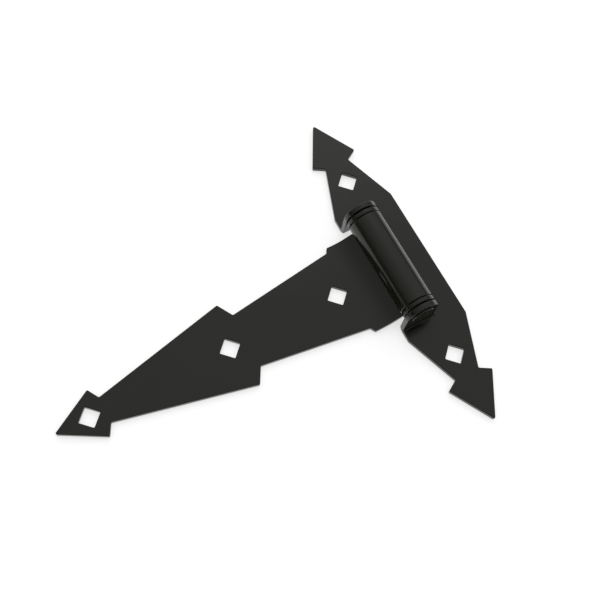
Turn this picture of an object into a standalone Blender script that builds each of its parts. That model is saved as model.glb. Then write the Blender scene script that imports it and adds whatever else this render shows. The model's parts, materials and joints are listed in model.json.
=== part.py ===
"""T hinge for a gate: an arrow-ended strap leaf that swings on a pin held between two ears of the butt leaf.

Frame: metres. X runs along the strap, which points to -X. Y runs along the pin. +Z is the front, so both
leaves bolt down with their backs on z = 0. The origin is the middle of the butt leaf's web, on its back.

Each leaf starts as a flat blank with its outline, its holes and eased edges, and is then bent, which is how
the steel ones are made.
"""

import math

import bmesh
import bpy
from mathutils import Vector

MM = 0.001
INCH = 25.4 * MM

# Sheet, pin and their fit
SHEET = 3.2 * MM
PIN_RADIUS = 0.25 * INCH
PIN_HEIGHT = 17 * MM
GAP = 0.3 * MM
BORE_RADIUS = PIN_RADIUS + GAP
EYE_RADIUS = BORE_RADIUS + SHEET

# Butt leaf, measured from its long axis, which runs through its two bolt holes
BUTT_LENGTH = 8 * INCH
BUTT_HALF_WIDTH = 18.9 * MM
BUTT_SHOULDER_Y = 41.5 * MM
BUTT_BARB = (14.3 * MM, 76.5 * MM)
BUTT_NECK = (7.6 * MM, 72.6 * MM)
BUTT_HOLE_Y = 59.8 * MM
PIN_FROM_BUTT_AXIS = -9 * MM

# Ears, bent up from the butt leaf on both sides of the strap's eye and flush with the leaf's left edge
EAR_INSIDE_Y = 31.7 * MM
EAR_BEND_RADIUS = 0.6 * MM
EAR_RADIUS = BUTT_HALF_WIDTH + PIN_FROM_BUTT_AXIS
EAR_SLIT = 0.5 * MM
EAR_SLIT_PAST_BEND = 0.2 * MM

# Strap leaf, measured from the pin axis
STRAP_LENGTH = 201.6 * MM
STRAP_BARB = (176.9 * MM, 14.2 * MM)
STRAP_NECK = (173.1 * MM, 7.6 * MM)
STRAP_SHOULDER = (94.5 * MM, 25.5 * MM)
STRAP_WAIST = (89.2 * MM, 16.4 * MM)
STRAP_FLARE = (24.9 * MM, 25.2 * MM)
STRAP_BASE_X = 23.2 * MM
EYE_HALF_LENGTH = 28.1 * MM
STRAP_HOLES = (182 * MM, 99.5 * MM, 32 * MM)
RISE_START = 14.5 * MM
RISE_BEND_RADIUS = 22 * MM
SEAM_GAP = 0.35 * MM

# Square holes for carriage bolts, turned corner-on to the leaf
BOLT_SQUARE = 8.9 * MM

# Washers and the pin's riveted ends
WASHER_RADIUS = EYE_RADIUS
WASHER_THICKNESS = 2.5 * MM
WASHER_FROM_EYE = 0.35 * MM
PIN_HEAD_RADIUS = 6.9 * MM
PIN_HEAD_HEIGHT = 0.8 * MM
PIN_HEAD_EDGE = 0.6 * MM

# Eased edges and corners
EDGE = 0.35 * MM
CORNER = 0.8 * MM
CORNER_STEPS = 4
CORNER_FROM = math.radians(20)

ROUND_STEPS = 96
BEND_STEPS = 8

# Places that follow from the sizes above
EAR_EDGE = PIN_FROM_BUTT_AXIS + EAR_RADIUS
WEB_EDGE = EAR_EDGE + EAR_SLIT
BUTT_AXIS_X = -(WEB_EDGE + BUTT_HALF_WIDTH) / 2
PIN_X = BUTT_AXIS_X + PIN_FROM_BUTT_AXIS
EAR_OUTSIDE_Y = EAR_INSIDE_Y + SHEET
EAR_FOOT_Y = EAR_OUTSIDE_Y + EAR_BEND_RADIUS
EAR_BEND_LENGTH = (EAR_BEND_RADIUS + SHEET / 2) * math.pi / 2

# The strap's back climbs from its corner at RISE_START until it touches the eye's circle from below.
CORNER_TO_PIN = math.hypot(RISE_START, PIN_HEIGHT)
RISE = math.atan2(PIN_HEIGHT, RISE_START) - math.asin(EYE_RADIUS / CORNER_TO_PIN)
RISE_SETBACK = (RISE_BEND_RADIUS + SHEET) * math.tan(RISE / 2)
RISE_FROM_X = -RISE_START - RISE_SETBACK
RISE_BEND_LENGTH = RISE * (RISE_BEND_RADIUS + SHEET / 2)
RISE_STRAIGHT = math.sqrt(CORNER_TO_PIN**2 - EYE_RADIUS**2) - RISE_SETBACK
ROLL_FROM_X = RISE_FROM_X + RISE_BEND_LENGTH + RISE_STRAIGHT

# The rolled end stops when its outer corner is SEAM_GAP above the strap's front face.
ROLL = 1.5 * math.pi + math.asin((BORE_RADIUS - SEAM_GAP) / EYE_RADIUS)
ROLL_LENGTH = ROLL * (BORE_RADIUS + SHEET / 2)


def clear_scene():
    for obj in list(bpy.data.objects):
        bpy.data.objects.remove(obj, do_unlink=True)


def finish(name, colour, roughness, metallic):
    """A Principled material for one part."""
    material = bpy.data.materials.new(name)
    material.use_nodes = True
    shader = material.node_tree.nodes["Principled BSDF"]
    shader.inputs["Base Color"].default_value = (*colour, 1)
    shader.inputs["Roughness"].default_value = roughness
    shader.inputs["Metallic"].default_value = metallic
    return material


def add_object(name, shape, material, location):
    """One named object from a bmesh, shaded smooth up to its sharp edges."""
    bmesh.ops.recalc_face_normals(shape, faces=shape.faces)
    mesh = bpy.data.meshes.new(name)
    shape.to_mesh(mesh)
    shape.free()
    mesh.shade_smooth()
    mesh.set_sharp_from_angle(angle=math.radians(30))
    mesh.materials.append(material)
    obj = bpy.data.objects.new(name, mesh)
    obj.location = location
    bpy.context.scene.collection.objects.link(obj)
    return obj


def arc(centre, radius, start, end, steps):
    """Points on an arc with both ends included. The angles are in degrees."""
    angles = [math.radians(start + (end - start) * i / steps) for i in range(steps + 1)]
    return [(centre[0] + radius * math.cos(a), centre[1] + radius * math.sin(a)) for a in angles]


def turns(outline):
    """For each point of a closed outline: the point, and the directions in which its sides arrive and leave."""
    points = [Vector(point) for point in outline]
    count = len(points)
    for i, point in enumerate(points):
        arrive = point - points[i - 1]
        leave = points[(i + 1) % count] - point
        yield point, arrive, leave


def eased(outline):
    """The outline with each sharp corner replaced by a small arc, and its shallow ones left as they are."""
    result = []
    for point, arrive, leave in turns(outline):
        turn = arrive.angle(leave)
        if turn < CORNER_FROM:
            result.append(tuple(point))
            continue
        cut = min(CORNER * math.tan(turn / 2), 0.4 * arrive.length, 0.4 * leave.length)
        start = point - arrive.normalized() * cut
        for i in range(CORNER_STEPS + 1):
            share = turn * i / CORNER_STEPS
            radius = cut / math.tan(turn / 2)
            along = arrive.normalized() * (radius * math.sin(share))
            side = leave.normalized() - arrive.normalized() * math.cos(turn)
            across = side.normalized() * (radius * (1 - math.cos(share)))
            result.append(tuple(start + along + across))
    return result


def inset(outline, distance):
    """The outline moved into the material, which is on its left."""
    result = []
    for point, arrive, leave in turns(outline):
        before = Vector((-arrive.y, arrive.x)).normalized()
        after = Vector((-leave.y, leave.x)).normalized()
        result.append(tuple(point + (before + after) * distance / (1 + before.dot(after))))
    return result


def blank(outlines):
    """A flat sheet from z = 0 to z = SHEET with its edges eased. Material is on the left of every outline."""
    sheet = bmesh.new()
    rims = {0: [], SHEET: []}
    for outline in outlines:
        inner = inset(outline, EDGE)
        levels = [(inner, 0), (outline, EDGE), (outline, SHEET - EDGE), (inner, SHEET)]
        rings = [[sheet.verts.new((x, y, z)) for x, y in points] for points, z in levels]
        for low, high in zip(rings, rings[1:]):
            for i in range(len(outline)):
                sheet.faces.new((low[i - 1], low[i], high[i], high[i - 1]))
        for level, ring in ((0, rings[0]), (SHEET, rings[-1])):
            rims[level] += [sheet.edges.get((ring[i - 1], ring[i])) for i in range(len(ring))]
    for rim in rims.values():
        bmesh.ops.triangle_fill(sheet, use_beauty=True, use_dissolve=False, edges=rim)
    return sheet


def score(sheet, places, normal):
    """Cuts straight edges across the sheet, so that it can bend along them."""
    for place in places:
        geometry = sheet.verts[:] + sheet.edges[:] + sheet.faces[:]
        bmesh.ops.bisect_plane(sheet, geom=geometry, dist=1e-7, plane_co=normal * place, plane_no=normal)


def bend(along, up, radius, angle):
    """Where a point of the sheet goes in a bend that turns up through angle, with radius on its inside.

    along is measured from the start of the bend and up from the middle of the sheet, both before and after.
    """
    middle = radius + SHEET / 2
    turned = min(max(along / middle, 0), angle)
    past = along - turned * middle
    reach = middle - up
    forward = reach * math.sin(turned) + past * math.cos(turned)
    lift = middle - reach * math.cos(turned) + past * math.sin(turned)
    return forward, lift


def bolt_square(x, y):
    """A square hole turned 45 degrees, clockwise so that the material is on its left."""
    reach = BOLT_SQUARE / math.sqrt(2)
    return eased([(x + reach, y), (x, y - reach), (x - reach, y), (x, y + reach)])


def mirrored(outline):
    """The outline's mirror image across y = 0, turned round so that the material stays on its left."""
    return [(x, -y) for x, y in reversed(outline)]


def ear_blank():
    """The upper ear and its bore as they lie in the flat sheet, from the leaf's left edge to the slit."""
    centre = (PIN_FROM_BUTT_AXIS, EAR_FOOT_Y - EAR_BEND_LENGTH - PIN_HEIGHT + SHEET + EAR_BEND_RADIUS)
    slit_end = EAR_FOOT_Y + EAR_SLIT_PAST_BEND
    round_top = arc(centre, EAR_RADIUS, 180, 360, ROUND_STEPS // 2)
    bore = arc(centre, BORE_RADIUS, 360, 0, ROUND_STEPS)[:-1]
    return [*round_top, (EAR_EDGE, slit_end), (WEB_EDGE, slit_end)], bore


def fold_ears(sheet):
    """Bends both ears up square to the leaf."""
    places = [EAR_FOOT_Y - EAR_BEND_LENGTH * i / BEND_STEPS for i in range(BEND_STEPS + 1)]
    score(sheet, places + [-place for place in places], Vector((0, 1, 0)))
    for point in sheet.verts:
        x, y, z = point.co
        along = EAR_FOOT_Y - abs(y)
        if along > 0 and x < EAR_EDGE + EAR_SLIT / 2:
            forward, lift = bend(along, z - SHEET / 2, EAR_BEND_RADIUS, math.pi / 2)
            point.co = (x, math.copysign(EAR_FOOT_Y - forward, y), lift + SHEET / 2)


def make_butt_leaf():
    arrow = [
        (BUTT_HALF_WIDTH, BUTT_SHOULDER_Y),
        BUTT_NECK,
        BUTT_BARB,
        (0, BUTT_LENGTH / 2),
        (-BUTT_BARB[0], BUTT_BARB[1]),
        (-BUTT_NECK[0], BUTT_NECK[1]),
        (-BUTT_HALF_WIDTH, BUTT_SHOULDER_Y),
    ]
    ear, bore = ear_blank()
    upper_half = arrow + ear
    outline = eased(upper_half + mirrored(upper_half))
    holes = [bolt_square(0, BUTT_HOLE_Y), bolt_square(0, -BUTT_HOLE_Y)]
    sheet = blank([outline, bore, mirrored(bore), *holes])
    fold_ears(sheet)
    material = finish("butt_leaf_black_coat", (0.018, 0.018, 0.017), 0.35, 0.0)
    return add_object("butt_leaf", sheet, material, (BUTT_AXIS_X, 0, 0))


def roll_strap(sheet):
    """Bends the strap up at its rise and rolls its end around the pin."""
    rise_places = [RISE_FROM_X + RISE_BEND_LENGTH * i / BEND_STEPS for i in range(BEND_STEPS + 1)]
    roll_steps = round(ROUND_STEPS * ROLL / (2 * math.pi))
    roll_places = [ROLL_FROM_X + ROLL_LENGTH * i / roll_steps for i in range(roll_steps)]
    score(sheet, rise_places + roll_places, Vector((1, 0, 0)))
    roll_start = bend(ROLL_FROM_X - RISE_FROM_X, 0, RISE_BEND_RADIUS, RISE)
    for point in sheet.verts:
        x, y, z = point.co
        up = z - SHEET / 2
        if x > ROLL_FROM_X:
            forward, lift = bend(x - ROLL_FROM_X, up, BORE_RADIUS, ROLL)
            forward, lift = (
                roll_start[0] + forward * math.cos(RISE) - lift * math.sin(RISE),
                roll_start[1] + forward * math.sin(RISE) + lift * math.cos(RISE),
            )
        elif x > RISE_FROM_X:
            forward, lift = bend(x - RISE_FROM_X, up, RISE_BEND_RADIUS, RISE)
        else:
            continue
        point.co = (RISE_FROM_X + forward, y, lift + SHEET / 2)


def make_strap_leaf():
    side = [
        (ROLL_FROM_X + ROLL_LENGTH, EYE_HALF_LENGTH),
        (-STRAP_BASE_X, EYE_HALF_LENGTH),
        (-STRAP_FLARE[0], STRAP_FLARE[1]),
        (-STRAP_WAIST[0], STRAP_WAIST[1]),
        (-STRAP_SHOULDER[0], STRAP_SHOULDER[1]),
        (-STRAP_NECK[0], STRAP_NECK[1]),
        (-STRAP_BARB[0], STRAP_BARB[1]),
    ]
    outline = eased([*side, (-STRAP_LENGTH, 0), *mirrored(side)])
    holes = [bolt_square(-place, 0) for place in STRAP_HOLES]
    sheet = blank([outline, *holes])
    roll_strap(sheet)
    # The object's origin is on the pin axis, so the sheet moves down by the pin's height.
    bmesh.ops.translate(sheet, verts=sheet.verts, vec=(0, 0, -PIN_HEIGHT))
    material = finish("strap_leaf_black_coat", (0.018, 0.018, 0.017), 0.35, 0.0)
    return add_object("strap_leaf", sheet, material, (PIN_X, 0, PIN_HEIGHT))


def turned(name, profile, material, hollow):
    """A solid turned about the pin axis from (radius, y) points, with a closed profile if it is hollow."""
    shape = bmesh.new()
    rings = []
    for radius, y in profile:
        circle = arc((0, 0), radius, 0, 360, ROUND_STEPS)[:-1]
        rings.append([shape.verts.new((x, y, z)) for x, z in circle])
    pairs = list(zip(rings, rings[1:]))
    if hollow:
        pairs.append((rings[-1], rings[0]))
    else:
        shape.faces.new(rings[0])
        shape.faces.new(rings[-1])
    for first, second in pairs:
        for i in range(ROUND_STEPS):
            shape.faces.new((first[i - 1], first[i], second[i], second[i - 1]))
    return add_object(name, shape, material, (PIN_X, 0, PIN_HEIGHT))


def make_pin():
    """A plain shaft that is riveted over outside both ears."""
    under = EAR_OUTSIDE_Y + GAP
    face = under + PIN_HEAD_HEIGHT
    flat = PIN_HEAD_RADIUS - PIN_HEAD_EDGE
    head = [(PIN_RADIUS, under), (PIN_HEAD_RADIUS, under)]
    head += arc((flat, face - PIN_HEAD_EDGE), PIN_HEAD_EDGE, 0, 90, CORNER_STEPS)
    profile = [(radius, -y) for radius, y in reversed(head)] + head
    return turned("hinge_pin", profile, finish("pin_black_coat", (0.02, 0.02, 0.019), 0.32, 0.0), False)


def make_washer(name, side):
    """A washer on the pin, close to the end of the strap's eye. side is 1 or -1."""
    middle = side * (EYE_HALF_LENGTH + WASHER_FROM_EYE + WASHER_THICKNESS / 2)
    low = middle - WASHER_THICKNESS / 2
    high = middle + WASHER_THICKNESS / 2
    profile = [
        (BORE_RADIUS, low),
        (WASHER_RADIUS - EDGE, low),
        (WASHER_RADIUS, low + EDGE),
        (WASHER_RADIUS, high - EDGE),
        (WASHER_RADIUS - EDGE, high),
        (BORE_RADIUS, high),
    ]
    return turned(name, profile, finish(name + "_black_coat", (0.02, 0.02, 0.019), 0.35, 0.0), True)


clear_scene()
make_butt_leaf()
make_strap_leaf()
make_pin()
make_washer("upper_washer", 1)
make_washer("lower_washer", -1)
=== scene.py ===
# %% [markdown]
# # A black gate hinge, from a flat blank to a finished coat
#
# A T hinge has two leaves of 3.2 mm steel sheet. The long strap bolts to the gate. The short butt leaf lies
# across its end and bolts to the post. Each leaf is laser cut flat with arrow-shaped ends, and is then bent:
# the strap's end is rolled round a pin, and two ears are turned up out of the butt leaf to hold that pin.
#
# This lesson makes the pieces in the same order as the workshop does: cut, ease the edges, bend, rivet, coat.
# The model that the lesson starts from gives every place and size, and its bodies carry the pieces when the
# hinge swings.

# %% Load the frame
import json
import math

import bmesh
import bpy
from mathutils import Matrix, Vector, noise

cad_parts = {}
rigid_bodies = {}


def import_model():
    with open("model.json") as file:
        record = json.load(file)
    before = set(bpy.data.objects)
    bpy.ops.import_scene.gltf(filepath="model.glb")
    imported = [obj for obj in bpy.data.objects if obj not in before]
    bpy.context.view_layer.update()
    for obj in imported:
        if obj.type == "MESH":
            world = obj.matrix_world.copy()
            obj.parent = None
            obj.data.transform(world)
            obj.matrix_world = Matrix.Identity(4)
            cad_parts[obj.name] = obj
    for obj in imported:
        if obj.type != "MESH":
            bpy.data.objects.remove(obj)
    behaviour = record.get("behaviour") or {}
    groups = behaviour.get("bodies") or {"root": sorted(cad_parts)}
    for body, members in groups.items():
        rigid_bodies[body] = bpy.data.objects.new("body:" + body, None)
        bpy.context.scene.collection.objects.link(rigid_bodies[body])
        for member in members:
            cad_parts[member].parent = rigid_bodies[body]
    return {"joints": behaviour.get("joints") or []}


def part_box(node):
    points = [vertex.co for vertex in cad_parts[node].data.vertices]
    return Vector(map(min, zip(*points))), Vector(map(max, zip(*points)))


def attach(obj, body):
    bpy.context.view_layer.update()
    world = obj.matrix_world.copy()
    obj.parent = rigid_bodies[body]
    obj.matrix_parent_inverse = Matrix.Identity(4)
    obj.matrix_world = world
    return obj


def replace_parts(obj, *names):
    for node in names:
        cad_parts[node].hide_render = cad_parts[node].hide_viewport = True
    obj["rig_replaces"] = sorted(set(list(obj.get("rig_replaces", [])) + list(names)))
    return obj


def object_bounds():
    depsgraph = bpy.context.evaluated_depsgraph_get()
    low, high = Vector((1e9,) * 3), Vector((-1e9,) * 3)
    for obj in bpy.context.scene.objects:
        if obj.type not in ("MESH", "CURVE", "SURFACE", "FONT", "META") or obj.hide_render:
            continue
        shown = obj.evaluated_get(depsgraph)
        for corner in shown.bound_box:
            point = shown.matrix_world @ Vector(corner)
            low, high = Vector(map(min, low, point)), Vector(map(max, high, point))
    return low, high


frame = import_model()
cad_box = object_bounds()

# %% [markdown]
# ## Sizes
#
# Everything is in metres, so a millimetre gets a name. The pin's place comes from the frame's joint, which is
# the line that the strap really turns about. Sizes that the frame can give are read from the boxes of its
# nodes, so that the finished pieces can't drift away from the ones that swing and collide.

# %% The pin, the sheet and the coat
MM = 0.001
SHEET = 3.2 * MM
PIN_RADIUS = 6.35 * MM
PLAY = 0.3 * MM
BORE_RADIUS = PIN_RADIUS + PLAY
EYE_RADIUS = BORE_RADIUS + SHEET

pin_x, _, pin_height = frame["joints"][0]["pos_m"]
butt_low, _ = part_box("butt_leaf")
_, strap_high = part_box("strap_leaf")
print(f"pin axis at x {pin_x / MM:.2f} mm, {pin_height / MM:.1f} mm above the backs of the leaves")

# %% [markdown]
# ## Curves and corners of a blank
#
# A laser can't leave a perfectly sharp corner, and a thick coat of powder softens it more. So each outline is
# drawn with sharp corners first, which is easy to read, and one helper then rounds them. A second helper
# moves an outline inwards, into the metal. That is used for the eased edge all round the sheet. Doing this in
# plan, on a flat outline, is exact, where a bevel after bending has to cope with thousands of facets.

# %% Arcs
def arc(centre, radius, start, end, steps):
    """Points on an arc with both ends included, angles in degrees."""
    angles = [math.radians(start + (end - start) * i / steps) for i in range(steps + 1)]
    return [(centre[0] + radius * math.cos(a), centre[1] + radius * math.sin(a)) for a in angles]


# %% Sides of an outline
def sides(outline):
    """Each point of a closed outline with the side that arrives there and the one that leaves."""
    points = [Vector(point) for point in outline]
    for i, point in enumerate(points):
        yield point, point - points[i - 1], points[(i + 1) % len(points)] - point


# %% Round the sharp corners
CORNER = 0.8 * MM
CORNER_STEPS = 8
SHARP_CORNER = math.radians(20)
MOST_OF_A_SIDE = 0.4


def rounded(outline, radius=CORNER):
    result = []
    for point, arrive, leave in sides(outline):
        turn = arrive.angle(leave)
        if turn < SHARP_CORNER:
            result.append(tuple(point))
            continue
        longest = MOST_OF_A_SIDE * min(arrive.length, leave.length)
        cut = min(radius * math.tan(turn / 2), longest)
        along = arrive.normalized()
        across = (leave.normalized() - along * math.cos(turn)).normalized()
        fillet = cut / math.tan(turn / 2)
        for i in range(CORNER_STEPS + 1):
            share = turn * i / CORNER_STEPS
            step = along * (fillet * math.sin(share) - cut) + across * (fillet * (1 - math.cos(share)))
            result.append(tuple(point + step))
    return result


# %% Move an outline into the metal
def inset(outline, distance):
    """Metal is on the left of the outline."""
    result = []
    for point, arrive, leave in sides(outline):
        before = Vector((-arrive.y, arrive.x)).normalized()
        after = Vector((-leave.y, leave.x)).normalized()
        result.append(tuple(point + (before + after) * distance / (1 + before.dot(after))))
    return result


# %% [markdown]
# ## The blank
#
# The blank is a stack of rings for each outline: the back's rim, the eased edge, the straight cut, the eased
# edge again and the front's rim. Faces join one ring to the next, and a triangle fill closes the back and the
# front with their holes in one go. The eased edge is a quarter of a circle, because a powder coat flows
# round an edge and hides the cut's sharp arris. It is what draws the thin pale line round each leaf in soft
# light.

# %% Build a sheet from outlines
EDGE = 0.5 * MM
EDGE_STEPS = 4


def blank(outlines):
    sheet = bmesh.new()
    quarter = [math.radians(90 * i / EDGE_STEPS) for i in range(EDGE_STEPS + 1)]
    lower = [(EDGE * (1 - math.sin(a)), EDGE * (1 - math.cos(a))) for a in quarter]
    upper = [(inwards, SHEET - z) for inwards, z in reversed(lower)]
    rims = ([], [])
    for outline in outlines:
        rings = []
        for inwards, z in lower + upper:
            rings.append([sheet.verts.new((x, y, z)) for x, y in inset(outline, inwards)])
        for low, high in zip(rings, rings[1:]):
            for i in range(len(outline)):
                sheet.faces.new((low[i - 1], low[i], high[i], high[i - 1]))
        for rim, ring in zip(rims, (rings[0], rings[-1])):
            rim.extend(sheet.edges.get((ring[i - 1], ring[i])) for i in range(len(ring)))
    for rim in rims:
        bmesh.ops.triangle_fill(sheet, use_beauty=True, use_dissolve=False, edges=rim)
    return sheet


# %% [markdown]
# ## Bending
#
# A press brake bends sheet along a straight line. Along that line the middle of the sheet keeps its length,
# the outside stretches and the inside shrinks. So a bend is one sum: how far along the bend a point lies
# gives its angle, and how far it is from the middle of the sheet gives its radius. The flat sheet has no
# points in the middle of a bend, so it is first cut across there, in as many places as the curve needs to
# look smooth.

# %% Cut the sheet across, where it will bend
SAME_POINT = 1e-7


def score(sheet, places, normal):
    for place in places:
        geometry = sheet.verts[:] + sheet.edges[:] + sheet.faces[:]
        point = normal * place
        bmesh.ops.bisect_plane(sheet, geom=geometry, dist=SAME_POINT, plane_co=point, plane_no=normal)


# %% Where a point of the sheet goes in a bend
def bend(along, up, radius, angle):
    """along is from the start of the bend, up from the middle of the sheet. The bend turns up."""
    middle = radius + SHEET / 2
    turned = min(max(along / middle, 0), angle)
    past = along - turned * middle
    reach = middle - up
    forward = reach * math.sin(turned) + past * math.cos(turned)
    lift = middle - reach * math.cos(turned) + past * math.sin(turned)
    return forward, lift


# %% [markdown]
# ## Bolt holes
#
# The holes are square and stand on a corner. A carriage bolt has a square neck under its round head, and the
# square hole stops it from turning while its nut is done up from behind.

# %% A square hole on its corner
BOLT_SQUARE = 8.9 * MM
BOLT_CORNER = 0.6 * MM


def bolt_hole(x, y):
    reach = BOLT_SQUARE / math.sqrt(2)
    return rounded([(x + reach, y), (x, y - reach), (x - reach, y), (x, y + reach)], BOLT_CORNER)


def mirrored(outline):
    """The mirror image across the strap's long axis, turned round to keep the metal on its left."""
    return [(x, -y) for x, y in reversed(outline)]


# %% [markdown]
# ## Turning a bmesh into a piece
#
# Every piece needs the same last steps: outward normals, smooth shading that stops at real edges, a place on
# its body, and the name of the plain node that it stands for. The helper does them once; the coat comes
# later.

# %% Finish a piece
SHARP_EDGE = math.radians(34)


def make_piece(name, shape, body, node, place=(0, 0, 0)):
    bmesh.ops.recalc_face_normals(shape, faces=shape.faces)
    mesh = bpy.data.meshes.new(name)
    shape.to_mesh(mesh)
    shape.free()
    mesh.shade_smooth()
    mesh.set_sharp_from_angle(angle=SHARP_EDGE)
    piece = bpy.data.objects.new(name, mesh)
    piece.location = place
    bpy.context.scene.collection.objects.link(piece)
    # Large flat faces win where they meet a small round edge, so the flats stay flat in the light.
    weights = piece.modifiers.new("flat faces win", "WEIGHTED_NORMAL")
    weights.weight = 100
    weights.keep_sharp = True
    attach(piece, body)
    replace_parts(piece, node)
    print(f"{name}: {len(mesh.polygons)} faces")


# %% [markdown]
# ## The butt leaf
#
# The butt leaf is 8 inches long with an arrow at each end. A window is cut in its left side, and the metal
# from that window isn't thrown away: it becomes the two ears. In the flat blank the ears lie in the window,
# facing each other. A narrow slit beside each one lets it turn up without tearing the web that joins the
# two ends.

# %% Its outline
BUTT_LENGTH = 8 * 25.4 * MM
BUTT_HALF_WIDTH = 18.9 * MM
BUTT_SHOULDER_Y = 41.5 * MM
BUTT_NECK = (7.6 * MM, 72.6 * MM)
BUTT_BARB = (14.3 * MM, 76.5 * MM)
BUTT_HOLE_Y = 59.8 * MM
butt_axis = butt_low.x + BUTT_HALF_WIDTH
pin_from_axis = pin_x - butt_axis

right_side = [(BUTT_HALF_WIDTH, BUTT_SHOULDER_Y), BUTT_NECK, BUTT_BARB]
left_side = [(-x, y) for x, y in reversed(right_side)]
arrow = [*right_side, (0, BUTT_LENGTH / 2), *left_side]

# %% Its ears, lying flat
EAR_INSIDE_Y = 31.7 * MM
EAR_BEND_RADIUS = 0.6 * MM
EAR_RADIUS = BUTT_HALF_WIDTH + pin_from_axis
SLIT = 0.5 * MM
SLIT_PAST_BEND = 0.2 * MM
EAR_STEPS = 72
BORE_STEPS = 96

ear_foot = EAR_INSIDE_Y + SHEET + EAR_BEND_RADIUS
ear_bend_length = (EAR_BEND_RADIUS + SHEET / 2) * math.pi / 2
ear_centre = (pin_from_axis, ear_foot - ear_bend_length - pin_height + SHEET + EAR_BEND_RADIUS)
ear_edge = pin_from_axis + EAR_RADIUS
web_edge = ear_edge + SLIT
slit_end = ear_foot + SLIT_PAST_BEND

round_top = arc(ear_centre, EAR_RADIUS, 180, 360, EAR_STEPS)
ear = [*round_top, (ear_edge, slit_end), (web_edge, slit_end)]
ear_bore = arc(ear_centre, BORE_RADIUS, 360, 0, BORE_STEPS)[:-1]

# %% Cut it
upper_half = arrow + ear
butt_outline = rounded(upper_half + mirrored(upper_half))
butt_holes = [ear_bore, mirrored(ear_bore), bolt_hole(0, BUTT_HOLE_Y), bolt_hole(0, -BUTT_HOLE_Y)]
butt_sheet = blank([butt_outline, *butt_holes])

# %% Fold the ears up
BEND_STEPS = 12
fold_places = [ear_foot - ear_bend_length * i / BEND_STEPS for i in range(BEND_STEPS + 1)]
score(butt_sheet, fold_places + [-place for place in fold_places], Vector((0, 1, 0)))
for point in butt_sheet.verts:
    x, y, z = point.co
    past_foot = ear_foot - abs(y)
    if past_foot > 0 and x < ear_edge + SLIT / 2:
        forward, lift = bend(past_foot, z - SHEET / 2, EAR_BEND_RADIUS, math.pi / 2)
        point.co = (x, math.copysign(ear_foot - forward, y), lift + SHEET / 2)
make_piece("butt_leaf_coated", butt_sheet, "butt", "butt_leaf", (butt_axis, 0, 0))

# %% [markdown]
# ## The strap leaf
#
# The strap is drawn from the pin axis outwards: a wide root, a waist, the long taper with its shoulder, and
# the arrow. Near the pin it first rises a little, so that the eye clears the butt leaf, and then its end is
# rolled round the pin until it almost meets its own front face. The rise is the one tangent line from the
# back of the strap to the underside of the eye, so its angle is worked out and not guessed.

# %% Its outline
STRAP_LENGTH = 201.6 * MM
STRAP_SIDE = [
    (23.2 * MM, 28.1 * MM),
    (24.9 * MM, 25.2 * MM),
    (89.2 * MM, 16.4 * MM),
    (94.5 * MM, 25.5 * MM),
    (173.1 * MM, 7.6 * MM),
    (176.9 * MM, 14.2 * MM),
]
STRAP_HOLES = (32 * MM, 99.5 * MM, 182 * MM)
eye_half_length = strap_high.y

# %% Its rise and its roll
RISE_START = 14.5 * MM
RISE_RADIUS = 22 * MM
SEAM_GAP = 0.35 * MM

corner_to_pin = math.hypot(RISE_START, pin_height)
rise = math.atan2(pin_height, RISE_START) - math.asin(EYE_RADIUS / corner_to_pin)
setback = (RISE_RADIUS + SHEET) * math.tan(rise / 2)
rise_from = -RISE_START - setback
rise_length = rise * (RISE_RADIUS + SHEET / 2)
roll_from = rise_from + rise_length + math.sqrt(corner_to_pin**2 - EYE_RADIUS**2) - setback
roll = 1.5 * math.pi + math.asin((BORE_RADIUS - SEAM_GAP) / EYE_RADIUS)
roll_length = roll * (BORE_RADIUS + SHEET / 2)
print(f"the strap rises at {math.degrees(rise):.1f} degrees and is rolled through {math.degrees(roll):.0f}")

# %% Cut it
strap_side = [(roll_from + roll_length, eye_half_length), *[(-x, y) for x, y in STRAP_SIDE]]
strap_outline = rounded([*strap_side, (-STRAP_LENGTH, 0), *mirrored(strap_side)])
strap_sheet = blank([strap_outline, *[bolt_hole(-place, 0) for place in STRAP_HOLES]])

# %% Bend the rise, then roll the eye
ROLL_STEPS = 110
rise_places = [rise_from + rise_length * i / BEND_STEPS for i in range(BEND_STEPS + 1)]
roll_places = [roll_from + roll_length * i / ROLL_STEPS for i in range(ROLL_STEPS)]
score(strap_sheet, rise_places + roll_places, Vector((1, 0, 0)))
start_forward, start_lift = bend(roll_from - rise_from, 0, RISE_RADIUS, rise)
for point in strap_sheet.verts:
    x, y, z = point.co
    up = z - SHEET / 2
    if x > roll_from:
        forward, lift = bend(x - roll_from, up, BORE_RADIUS, roll)
        turned_forward = forward * math.cos(rise) - lift * math.sin(rise)
        turned_lift = forward * math.sin(rise) + lift * math.cos(rise)
        forward, lift = start_forward + turned_forward, start_lift + turned_lift
    elif x > rise_from:
        forward, lift = bend(x - rise_from, up, RISE_RADIUS, rise)
    else:
        continue
    point.co = (rise_from + forward, y, lift + SHEET / 2)
bmesh.ops.translate(strap_sheet, verts=strap_sheet.verts, vec=(0, 0, -pin_height))
pin_place = (pin_x, 0, pin_height)
make_piece("strap_leaf_coated", strap_sheet, "strap", "strap_leaf", pin_place)

# %% [markdown]
# ## The pin and its washers
#
# The pin is a half inch bar. It goes through one ear, a washer, the eye, the other washer and the other ear,
# and both its ends are then hammered over into low heads. Both it and the washers are round, so they are
# turned: a profile of radius and height is swept round the pin's axis. The hammer leaves shallow dents a few
# millimetres wide. They catch the light in separate bright spots, so they are made in the mesh, by moving the
# points of each end a little way in along a smooth noise that is the same on every run.

# %% Sweep a profile round the pin axis
ROUND_STEPS = 128


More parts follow.
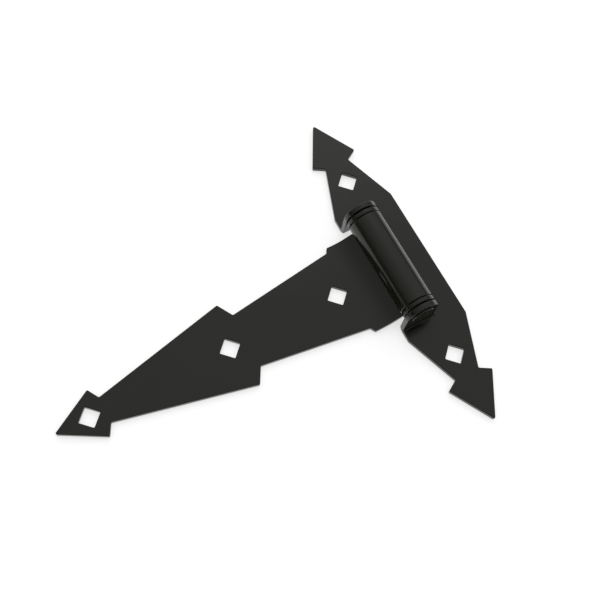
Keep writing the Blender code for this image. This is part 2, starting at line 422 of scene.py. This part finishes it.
def turned(profile, hollow):
    shape = bmesh.new()
    rings = []
    for radius, y in profile:
        circle = arc((0, 0), radius, 0, 360, ROUND_STEPS)[:-1]
        rings.append([shape.verts.new((x, y, z)) for x, z in circle])
    pairs = list(zip(rings, rings[1:]))
    if hollow:
        pairs.append((rings[-1], rings[0]))
    else:
        shape.faces.new(rings[0])
        shape.faces.new(rings[-1])
    for first, second in pairs:
        for i in range(ROUND_STEPS):
            shape.faces.new((first[i - 1], first[i], second[i], second[i - 1]))
    return shape


# %% The pin
HEAD_RADIUS = 6.9 * MM
HEAD_EDGE = 0.6 * MM
HEAD_STEPS = 8
FACE_RINGS = 12
head_under = EAR_INSIDE_Y + SHEET + PLAY
head_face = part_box("hinge_pin")[1].y
head = [(PIN_RADIUS, head_under), (HEAD_RADIUS, head_under)]
head += arc((HEAD_RADIUS - HEAD_EDGE, head_face - HEAD_EDGE), HEAD_EDGE, 0, 90, HEAD_STEPS)
flat_radius = HEAD_RADIUS - HEAD_EDGE
head += [(flat_radius * (1 - i / FACE_RINGS), head_face) for i in range(1, FACE_RINGS)]
pin_profile = [(radius, -y) for radius, y in reversed(head)] + head
pin_shape = turned(pin_profile, False)

# %% Hammer its ends
DENT_DEPTH = 0.35 * MM
DENT_SIZE = 2.6 * MM
for point in pin_shape.verts:
    if abs(point.co.y) > head_face - HEAD_EDGE / 2:
        blow = 0.5 + 0.5 * noise.noise(point.co / DENT_SIZE)
        point.co.y -= math.copysign(DENT_DEPTH * blow, point.co.y)
make_piece("hinge_pin_riveted", pin_shape, "butt", "hinge_pin", pin_place)

# %% The washers
WASHER_EDGE_STEPS = 3
for node in ("upper_washer", "lower_washer"):
    low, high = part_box(node)
    radius = (high.z - low.z) / 2
    half = arc((radius - EDGE, low.y + EDGE), EDGE, -90, 0, WASHER_EDGE_STEPS)
    other_half = [(r, low.y + high.y - y) for r, y in reversed(half)]
    profile = [(BORE_RADIUS, low.y), *half, *other_half, (BORE_RADIUS, high.y)]
    make_piece(node + "_coated", turned(profile, True), "butt", node, pin_place)

# %% [markdown]
# ## Black powder coat
#
# The steel is covered with polyester powder that is baked until it flows together. It isn't a mirror and
# isn't matt: close up it has a fine orange peel from the powder's flow, about 2 mm from crest to crest, and
# on top of it a texture of a few tenths of a millimetre. The eye sees a soft black whose bright parts are
# mostly reflections, so its base colour is very dark and its roughness does most of the work. Convex edges
# get a lighter colour as a painted edge highlight.

# %% Colour and node helpers
def to_linear(code):
    """An sRGB hex colour as the linear numbers that a shader wants."""
    parts = [int(code[i : i + 2], 16) / 255 for i in (1, 3, 5)]
    return (*[p / 12.92 if p <= 0.04045 else ((p + 0.055) / 1.055) ** 2.4 for p in parts], 1)


def add_node(tree, kind, settings=None, **links):
    """Settings are the node's own properties. A link is an input's name, or in_ and its number."""
    node = tree.nodes.new(kind)
    for name, value in (settings or {}).items():
        setattr(node, name, value)
    for name, value in links.items():
        socket = node.inputs[int(name[3:]) if name.startswith("in_") else name.replace("_", " ")]
        if isinstance(value, bpy.types.NodeSocket):
            tree.links.new(value, socket)
        else:
            socket.default_value = value
    return node


# %% The coat
CLOUD_SIZE = 30 * MM
PEEL_SIZE = 2 * MM
PEEL_DEPTH = 0.03 * MM
# The powder's own grain is about 0.1 mm. It is drawn at 0.4 mm, as coarse as it needs to show.
GRAIN_SIZE = 0.4 * MM
GRAIN_DEPTH = 0.02 * MM


def powder_coat(name, thin_lit_edge, thick, roughness, seed):
    """Edges get the first colour, thin powder lit as a painted edge highlight; thick is the flats' colour."""
    coat = bpy.data.materials.new(name)
    coat.use_nodes = True
    tree = coat.node_tree
    shader = tree.nodes["Principled BSDF"]
    place = add_node(tree, "ShaderNodeTexCoord").outputs["Object"]
    shift = (seed, seed / 3, 0)
    at = add_node(tree, "ShaderNodeVectorMath", {"operation": "ADD"}, in_0=place, in_1=shift).outputs[0]

    # Powder lies a little thicker here and thinner there.
    cloud = add_node(tree, "ShaderNodeTexNoise", Vector=at, Scale=1 / CLOUD_SIZE, Detail=3.0).outputs["Fac"]
    # Orange peel is measured from crest to crest.
    peel = add_node(tree, "ShaderNodeTexNoise", Vector=at, Scale=1 / PEEL_SIZE, Detail=1.0).outputs["Fac"]
    grain = add_node(tree, "ShaderNodeTexNoise", Vector=at, Scale=1 / GRAIN_SIZE, Detail=2.0).outputs["Fac"]

    # Convex edges get the lighter colour, broken up by the orange peel: a painted edge highlight where the
    # powder also lies thin.
    edges = add_node(tree, "ShaderNodeNewGeometry").outputs["Pointiness"]
    painted_edge_highlight_range = {"From_Min": 0.52, "From_Max": 0.62, "To_Min": 0.0, "To_Max": 0.6}
    painted_edge_highlight = add_node(tree, "ShaderNodeMapRange", Value=edges, **painted_edge_highlight_range).outputs[0]
    patchy_edge_highlight = add_node(tree, "ShaderNodeMath", {"operation": "MULTIPLY"}, in_0=painted_edge_highlight, in_1=peel).outputs[0]
    colours = {"in_6": to_linear(thick), "in_7": to_linear(thin_lit_edge)}
    colour = add_node(tree, "ShaderNodeMix", {"data_type": "RGBA"}, in_0=patchy_edge_highlight, **colours).outputs[2]
    tint_range = {"From_Min": 0.3, "From_Max": 0.7, "To_Min": 0.9, "To_Max": 1.12}
    tint = add_node(tree, "ShaderNodeMapRange", Value=cloud, **tint_range).outputs[0]
    shade = add_node(tree, "ShaderNodeVectorMath", {"operation": "SCALE"}, in_0=colour, Scale=tint)
    tree.links.new(shade.outputs[0], shader.inputs["Base Color"])

    mixed = add_node(tree, "ShaderNodeMath", {"operation": "ADD"}, in_0=cloud, in_1=grain).outputs[0]
    gloss_range = {"From_Min": 0.6, "From_Max": 1.4, "To_Min": roughness - 0.04, "To_Max": roughness + 0.05}
    gloss = add_node(tree, "ShaderNodeMapRange", Value=mixed, **gloss_range)
    tree.links.new(gloss.outputs[0], shader.inputs["Roughness"])

    fine = add_node(tree, "ShaderNodeBump", Strength=0.25, Distance=GRAIN_DEPTH, Height=grain).outputs[0]
    wavy = add_node(tree, "ShaderNodeBump", Strength=0.5, Distance=PEEL_DEPTH, Height=peel, Normal=fine)
    tree.links.new(wavy.outputs[0], shader.inputs["Normal"])
    shader.inputs["Metallic"].default_value = 0.0
    shader.inputs["IOR"].default_value = 1.5
    return coat


# %% Coat the pieces
leaf_coat = powder_coat("black_polyester_powder_coat", "#2D2C22", "#1C1C12", 0.2, 0.0)
strap_coat = powder_coat("black_polyester_powder_coat_strap", "#2D2C22", "#1C1C12", 0.2, 0.7)
pin_coat = powder_coat("black_powder_coat_over_rivet", "#333228", "#1C1C12", 0.2, 1.9)
for piece in bpy.data.objects:
    if "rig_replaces" not in piece:
        continue
    replaced = piece["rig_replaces"][0]
    coat = {"butt_leaf": leaf_coat, "strap_leaf": strap_coat}.get(replaced, pin_coat)
    piece.data.materials.append(coat)
    print(piece.name, "is coated with", coat.name)

# %% [markdown]
# ## The studio
#
# The hinge lies on its back on white paper over a light table, which shines through it and takes away the
# shadows. A black glossy surface shows little but what it mirrors, so the room matters more than the lamp:
# the flats mirror the ceiling, the barrel's right side mirrors the lit paper as one thin line, and its left
# side mirrors a darker wall. One wide soft lamp behind makes the far ends of the leaves a little lighter.

# %% The paper
REACH = 3.0
ROWS = 24
PAPER_GAP = 0.2 * MM
paper_shape = bmesh.new()
places = [-REACH + 2 * REACH * i / ROWS for i in range(ROWS + 1)]
grid = [[paper_shape.verts.new((x, y, 0)) for y in places] for x in places]
for i in range(ROWS):
    for j in range(ROWS):
        paper_shape.faces.new((grid[i][j], grid[i + 1][j], grid[i + 1][j + 1], grid[i][j + 1]))
paper_mesh = bpy.data.meshes.new("paper_sweep")
paper_shape.to_mesh(paper_mesh)
paper_shape.free()
paper = bpy.data.objects.new("paper_sweep", paper_mesh)
paper.location.z = cad_box[0][2] - PAPER_GAP
bpy.context.scene.collection.objects.link(paper)

# %% Its surface
FIBRE_SIZE = 2 * MM
white = bpy.data.materials.new("white_uncoated_paper")
white.use_nodes = True
tree = white.node_tree
place = add_node(tree, "ShaderNodeTexCoord").outputs["Object"]
fibre = add_node(tree, "ShaderNodeTexNoise", Vector=place, Scale=1 / FIBRE_SIZE, Detail=3.0)
whites = {"in_6": to_linear("#F4F4F4"), "in_7": to_linear("#FAFAFA")}
fleck = add_node(tree, "ShaderNodeMix", {"data_type": "RGBA"}, in_0=fibre.outputs["Fac"], **whites)
surface = tree.nodes["Principled BSDF"].inputs
tree.links.new(fleck.outputs[2], surface["Base Color"])
surface["Roughness"].default_value = 0.9
surface["Emission Color"].default_value = (1, 1, 1, 1)
surface["Emission Strength"].default_value = 0.63
paper_mesh.materials.append(white)


# %% Soft light
def soft_lamp(name, place, aim, size, power):
    data = bpy.data.lights.new(name, "AREA")
    data.shape = "DISK"
    data.size = size
    data.energy = power
    lamp = bpy.data.objects.new(name, data)
    lamp.location = place
    lamp.rotation_euler = (Vector(aim) - Vector(place)).to_track_quat("-Z", "Y").to_euler()
    bpy.context.scene.collection.objects.link(lamp)


soft_lamp("back_bank", (0.6, 1.3, 1.3), (0, 0, 0), 1.6, 2.4)

# %% The room: a grey ceiling that is lighter behind, over walls that are darker towards the floor
world = bpy.data.worlds.new("pale_room")
bpy.context.scene.world = world
world.use_nodes = True
room = world.node_tree
direction = add_node(room, "ShaderNodeTexCoord").outputs["Generated"]
towards_back = add_node(
    room, "ShaderNodeVectorMath", {"operation": "DOT_PRODUCT"}, in_0=direction, in_1=(0.62, 0.47, 0.63)
)
wall_range = {"From_Min": -0.3, "From_Max": 0.85, "To_Min": 0.16, "To_Max": 0.6}
wall = add_node(room, "ShaderNodeMapRange", Value=towards_back.outputs["Value"], **wall_range)
height = add_node(room, "ShaderNodeSeparateXYZ", Vector=direction).outputs["Z"]
low_range = {"From_Min": 0.1, "From_Max": 0.6, "To_Min": 0.26, "To_Max": 1.0}
dim_low = add_node(
    room, "ShaderNodeMapRange", {"interpolation_type": "SMOOTHSTEP"}, Value=height, **low_range
)
glow = add_node(
    room, "ShaderNodeMath", {"operation": "MULTIPLY"}, in_0=wall.outputs[0], in_1=dim_low.outputs[0]
)
room.links.new(glow.outputs[0], room.nodes["Background"].inputs["Strength"])
room.nodes["Background"].inputs["Color"].default_value = (1, 1, 1, 1)
bpy.context.scene.view_settings.view_transform = "Standard"

# %% [markdown]
# ## The camera
#
# The camera looks down on the hinge from half a metre, from beyond the strap's long side, and is rolled so
# that the strap runs up to the right. Its three axes are given as unit vectors, which places it exactly.

# %% Place it
camera_data = bpy.data.cameras.new("camera")
camera_data.sensor_width = 36
camera_data.lens = 57.92
camera_data.shift_x = -0.5 / 600
camera_data.shift_y = 0.5 / 600
camera = bpy.data.objects.new("camera", camera_data)
right = Vector((0.8728, -0.4815, 0.0797)).normalized()
back = Vector((-0.2401, -0.2814, 0.9291)).normalized()
up = back.cross(right).normalized()
right = up.cross(back)
camera.matrix_world = Matrix((right, up, back)).transposed().to_4x4()
camera.location = (butt_axis - 189.84 * MM, -144.27 * MM, 501.9 * MM)
bpy.context.scene.collection.objects.link(camera)
bpy.context.scene.camera = camera

# %% [markdown]
# ## The model's box
#
# The finished pieces must stay inside the box of the model that swings and collides. That box is printed.

# %% Measure and finish
bpy.context.view_layer.update()
print("CAD box", [[round(v / MM, 2) for v in corner] for corner in cad_box])
